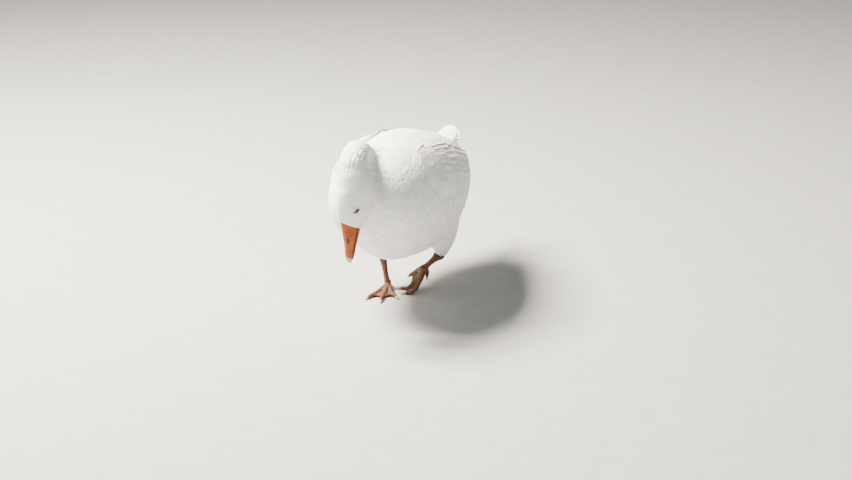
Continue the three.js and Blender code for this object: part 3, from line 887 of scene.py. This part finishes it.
def upper_bill(along, turn, grow=0.0):
    """Across = cos times half width; height = sin to 0.9 of the culmen, over the mouth line."""
    reach, wide, culmen, mouth = np.moveaxis(curve(UPPER, along), -1, 0)
    cos, sin = np.cos(turn), np.sin(turn)
    top = np.where(sin > 0, np.abs(sin) ** 0.9 * (culmen - mouth), sin * 1.2)
    z = mouth + 1.2 + top * (1 + grow / 18)
    hollow = 0.10 * np.clip(np.sin(2 * np.abs(np.arcsin(sin))), 0, 1) * (sin > 0)
    y = cos * (wide + grow) * (1 - hollow)
    rim = swell(reach - 35, z - 6, 10.5, 5.2) ** 0.7 - 2.2 * swell(reach - 35, z - 6, 6.6, 2.6) ** 0.5
    plates = np.clip((72 - reach) / 10, 0, 1) * np.clip((reach + 2) / 8, 0, 1)
    plates = np.clip(1 - np.abs(z - mouth - 1.6) / 1.5, 0, 1) * plates
    plates = plates * (0.35 + 0.35 * np.sin(reach * 2 * np.pi / PLATE))
    wrinkle = 0.12 * np.sin(reach * 1.1 + 3 * np.sin(turn)) * np.clip(1 - reach / 30, 0, 1)
    y = y + np.sign(cos) * np.minimum(1, np.abs(cos) * 3) * (0.9 * rim + plates + wrinkle)
    return on_head(reach, y, z)


def lower_bill(along, turn):
    """The same, hanging from the mouth line down to the keel."""
    reach, wide, mouth, keel = np.moveaxis(curve(LOWER, along), -1, 0)
    cos, sin = np.cos(turn), np.sin(turn)
    z = mouth - 0.6 + np.where(sin > 0, 0.2 * sin, sin * (mouth - keel))
    soft = 0.5 * np.clip(-sin, 0, 1) ** 3 * np.sin(np.pi * np.clip(along, 0, 1))
    return on_head(reach, cos * (wide - soft), z)


def tube(surface, rings, sides, start=0.0, stop=1.0):
    """A closed tube from a surface of along and turn, its rings closer together at the end."""
    along = start + (stop - start) * np.sin(np.linspace(0, np.pi / 2, rings))
    return grid(surface(*sweep(along, sides)))


def nail_plate(along, turn):
    """A shield over the bill's tip, its back edge curved, that bends over the end."""
    back = 0.835 + 0.05 * np.abs(np.cos(turn)) ** 2
    spot = upper_bill(back + (1 - back) * along, turn, 0.5 * np.sin(np.pi * np.clip(along, 0, 0.6)) ** 0.4)
    hook = np.clip(along - 0.75, 0, 1)[..., None] ** 1.5 * 4
    return spot - hook * 2.4 * CROWN_WAY / 1000


def nostril_painted_shade(points):
    """How dark the painted shade inside the nostril pit is at each point, for the bill's paint."""
    off = (points - on_head(0, 0, 0)) @ np.stack([BILL_WAY, CHEEK_WAY, CROWN_WAY], 1) * 1000
    return swell(off[:, 0] - 35, off[:, 2] - 6, 6.4, 2.5) ** 0.3


points, tris = tube(upper_bill, 150, 96, 0.0, 0.965)
# the bill's shade mark is painted shade in the nostril pit
piece("bill_top", points, tris, BILL, ["bill_upper"], marks=[("shade", nostril_painted_shade(points))])
points, tris = tube(lower_bill, 70, 48)
piece("bill_under", points, tris, BILL, ["bill_lower"], marks=[("shade", np.zeros(len(points)))])
points, tris = tube(nail_plate, 40, 40)
piece("bill_tip", points, tris, NAIL, ["bill_nail"], marks=[("shade", np.zeros(len(points)))])

# %% [markdown]
# ## The eyes
#
# A goose's eye is a ball of about 16 mm, of which the lids show an almond. Each eye is a ball
# with its poles on the line of sight. Round it lie two closed rings: a thin orange rim and,
# outside it, a soft white lid that bulges over the ball and sinks into the cheek.

# %%
EYE_SIZE, SLIT_LONG, SLIT_HIGH, SLIT_TURN = 8.2, 6.6, 3.2, math.radians(45)


def eye_axes(side):
    """Centre, line of sight, long way of the slit and the way across it."""
    sight = unit(side * CHEEK_WAY + 0.10 * BILL_WAY + 0.05 * CROWN_WAY)
    slit = math.cos(SLIT_TURN) * BILL_WAY + math.sin(SLIT_TURN) * CROWN_WAY
    slit = unit(slit - slit @ sight * sight)
    return on_head(-33, side * 22, 4), sight, slit, np.cross(sight, slit)


def on_eye(side, long_mm, high_mm, radius):
    """A spot over the eyeball at an offset from its middle, at a radius from its centre."""
    centre, sight, slit, lift = eye_axes(side)
    off = np.stack(np.broadcast_arrays(long_mm, high_mm), -1) / np.asarray(radius, float)[..., None]
    far = np.clip(1 - (off ** 2).sum(-1), 0.0, 1)
    way = off[..., :1] * slit + off[..., 1:] * lift + np.sqrt(far)[..., None] * sight
    return centre + way * np.asarray(radius, float)[..., None] / 1000


def almond(turn, grow):
    """The edge of the opening: an ellipse with pointed corners, grown outwards evenly."""
    sin = np.sin(turn)
    return np.cos(turn) * (SLIT_LONG + grow), sin * np.abs(sin) ** 0.25 * (SLIT_HIGH + grow)


def ring(side, rows, laid=()):
    """A closed ring round the almond through rows of (growth, radius), some laid on the skin."""
    turn = np.linspace(0, 2 * np.pi, 72, endpoint=False)
    lines = [on_eye(side, *almond(turn, grow), np.full(len(turn), float(high))) for grow, high in rows]
    lines = np.stack(lines, 1)
    for row, over in laid:
        on, out, _ = on_skin(lines[row])
        lines[row] = on + over * out
    r, s = lines.shape[:2]
    i, j = np.meshgrid(np.arange(r), np.arange(s), indexing="ij")
    a, b = i * s + j, i * s + (j + 1) % s
    c, d = (i + 1) % r * s + j, (i + 1) % r * s + (j + 1) % s
    tris = halves(a, b, c, d)
    return lines.reshape(-1, 3), tris[:, ::-1] if side < 0 else tris


def outward(points, tris):
    """The triangles, turned over if they enclose less than nothing."""
    a, b, c = (points[tris[:, n]] - points[0] for n in range(3))
    return tris if np.einsum("ij,ij->", a, np.cross(b, c)) > 0 else tris[:, ::-1]


def eyeball(side):
    """A ball with its first pole on the line of sight, and the angle from it as a mark."""
    centre, sight, slit, lift = eye_axes(side)
    angle, turn = sweep(np.linspace(0.02, np.pi - 0.02, 40), 48)
    way = np.sin(angle)[..., None] * (np.cos(turn)[..., None] * slit + np.sin(turn)[..., None] * lift)
    points, tris = grid(centre + (way + np.cos(angle)[..., None] * sight) * EYE_SIZE / 1000)
    gaze = np.arccos(np.clip(unit(points - centre) @ sight, -1, 1))
    return points, outward(points, tris), gaze


for side, label in ((1, "left"), (-1, "right")):
    points, tris, gaze = eyeball(side)
    piece("eyeball_" + label, points, tris, EYE, ["eye_" + label], marks=[("gaze", gaze)])
    points, tris = ring(side, [(-0.1, 8.25), (0.1, 8.8), (0.5, 9.1), (1.0, 9.0), (1.2, 8.3), (0.6, 7.8)])
    piece("eye_rim_" + label, points, outward(points, tris), LID)
    rows = [(0.7, 8.3), (0.9, 8.95), (1.6, 9.3), (2.8, 9.5), (4.2, 9.6), (5.2, 9.6), (2.0, 7.7)]
    points, tris = ring(side, rows, ((3, 0.0013), (4, 0.0007), (5, -0.0008)))
    piece("eyelid_" + label, points, outward(points, tris), DOWN)

# %% [markdown]
# ## Legs and feet
#
# Goose feet have three webbed toes and a small hind one. The solids of shank and foot are
# joined with 0.9 mm cells into one skin on each side. Over the top of every toe and down the
# front of the shank run scutes, plates 2.6 mm long, raised here as a wave along each bone.

# %%
# the bones from joint to joint, forward, left and up in millimetres: shank, toes, hind toe
BONES = {
    "left": [
        [(-14, 84, 154), (-76, 62, 74), (0, 45, 62)],
        [(0, 45, 62), (-14, 25, 49), (-30, 2, 30)],
        [(0, 45, 62), (-6, 24, 26), (-12, 4, 5.5), (-14, -14, 3.8)],
        [(0, 45, 62), (8, 34, 26), (12, 22, 5.5), (16, 6, 3.8)],
        [(0, 45, 62), (-12, 48, 50), (-19, 46, 36)],
    ],
    "right": [
        [(-4, -72, 136), (-26, -64, 90), (-5, -42, 8.5)],
        [(-5, -42, 8.5), (22, -25, 5), (46, -6, 3.8)],
        [(-5, -42, 8.5), (36, -38, 5), (60, -34, 5), (77, -31, 3.8)],
        [(-5, -42, 8.5), (32, -54, 5), (52, -60, 5), (68, -65, 3.8)],
        [(-5, -42, 8.5), (-18, -44, 15), (-30, -47, 8)],
    ],
}
SCUTE = 0.0026


def bone_place(points, bones):
    """For each point: the distance to the nearest bone, how far along it, and which it is."""
    best = np.full(len(points), 1.0)
    along, which = np.zeros(len(points)), np.zeros(len(points), int)
    for k, bone in enumerate(bones):
        spots = np.array([place(*spot) for spot in bone])
        walked = 0.0
        for a, b in zip(spots[:-1], spots[1:]):
            span = b - a
            t = np.clip((points - a) @ span / (span @ span), 0, 1)
            far = np.linalg.norm(points - a - t[:, None] * span, axis=1)
            near = far < best
            best = np.where(near, far, best)
            along = np.where(near, walked + t * np.linalg.norm(span), along)
            which = np.where(near, k, which)
            walked += np.linalg.norm(span)
    return best, along, which


for label, bones in BONES.items():
    leg = ["shank_" + label, "foot_" + label]
    points, tris = fused([arrays(nodes[n].data) for n in leg], 0.0009)
    points = relax(relax(points, tris, 0.55, 8), tris, -0.5, 3)
    out = normals(points, tris)
    far, along, which = bone_place(points, bones)
    toe = np.clip((0.0105 - far) / 0.004, 0, 1) * np.clip(out[:, 2] * 2 + (which == 0) * 1.2, 0, 1)
    plates = 0.00032 * toe * (np.abs(np.sin(np.pi * along / SCUTE)) ** 0.5 - 0.6)
    folds = 0.00018 * (1 - toe) * np.sin(far * 2200 + 3 * np.sin(along * 260)) * (which > 0)
    points = points + out * (plates + folds)[:, None]
    points[:, 2] = np.maximum(points[:, 2], 0.0)
    piece("leg_skin_" + label, points, tris, SCALE, leg)
    names = [n for n in nodes if n.startswith("claw_" + label)]
    points, tris = fused([arrays(nodes[n].data) for n in names], 0.0005)
    points = relax(relax(points, tris, 0.5, 4), tris, -0.5, 2)
    points[:, 2] = np.maximum(points[:, 2], 0.0)
    piece("claws_" + label, points, tris, CLAW, names, marks=[("shade", np.zeros(len(points)))])

# %% [markdown]
# ## Camera, floor and light
#
# The lens and the place of the camera follow the view from a little above the goose's left
# shoulder. A pale matt floor and three broad soft lamps make a plain studio.

# %%
LENS, ROUND_BY, DOWN_BY = 67.606, math.radians(17), math.radians(18.4)
SKY = 0.38


def facing(aim):
    """The turn that points a camera or a lamp along a direction."""
    return aim.to_track_quat("-Z", "Y").to_matrix().to_4x4()


def camera():
    """Looks 17 degrees round from the front and 18.4 degrees down."""
    view = bpy.data.objects.new("camera", bpy.data.cameras.new("camera"))
    view.data.sensor_width = 36
    view.data.lens = LENS
    view.data.clip_end = 100
    level = math.cos(DOWN_BY)
    aim = Vector((-math.sin(ROUND_BY) * level, math.cos(ROUND_BY) * level, -math.sin(DOWN_BY)))
    spot = Matrix.Translation(tuple(place(3217.6, 1033.1, 1247.4)))
    view.matrix_world = spot @ facing(aim)
    bpy.context.scene.collection.objects.link(view)
    bpy.context.scene.camera = view


def lamp(name, spot, size, watts, tint):
    """A square soft lamp that faces the goose's body."""
    light = bpy.data.objects.new(name, bpy.data.lights.new(name, "AREA"))
    light.data.size = size
    light.data.energy = watts
    light.data.color = linear(tint)[:3]
    aim = Vector((0, 0, 0.22)) - Vector(spot)
    light.matrix_world = Matrix.Translation(spot) @ facing(aim)
    bpy.context.scene.collection.objects.link(light)


def floor():
    """A pale plaster floor with a faint unevenness of about 5 cm."""
    mesh = bpy.data.meshes.new("floor")
    mesh.from_pydata([(-15, -15, 0), (15, -15, 0), (15, 15, 0), (-15, 15, 0)], [], [(0, 1, 2, 3)])
    s = Stuff("pale plaster", Roughness=0.85)
    where = s.add("ShaderNodeTexCoord", 3)
    cloud = s.add("ShaderNodeTexNoise", sockets={"Vector": where, "Scale": 20.0})
    mesh.materials.append(s.paint(Base_Color=s.ramp(cloud, (0.3, "a9a9a6"), (0.7, "afafac"))))
    made = bpy.data.objects.new("floor", mesh)
    bpy.context.scene.collection.objects.link(made)


camera()
floor()
lamp("key", (-1.75, -0.15, 2.85), 1.2, 1020, "fff6ea")
lamp("fill", (2.2, -2.2, 1.4), 2.4, 20, "e4eeff")
lamp("front", (-1.8, -2.6, 1.6), 2.0, 24, "f4f8ff")
world = bpy.data.worlds.new("studio")
world.use_nodes = True
world.node_tree.nodes["Background"].inputs[0].default_value = linear("dfe3e6")
world.node_tree.nodes["Background"].inputs[1].default_value = SKY
bpy.context.scene.world = world
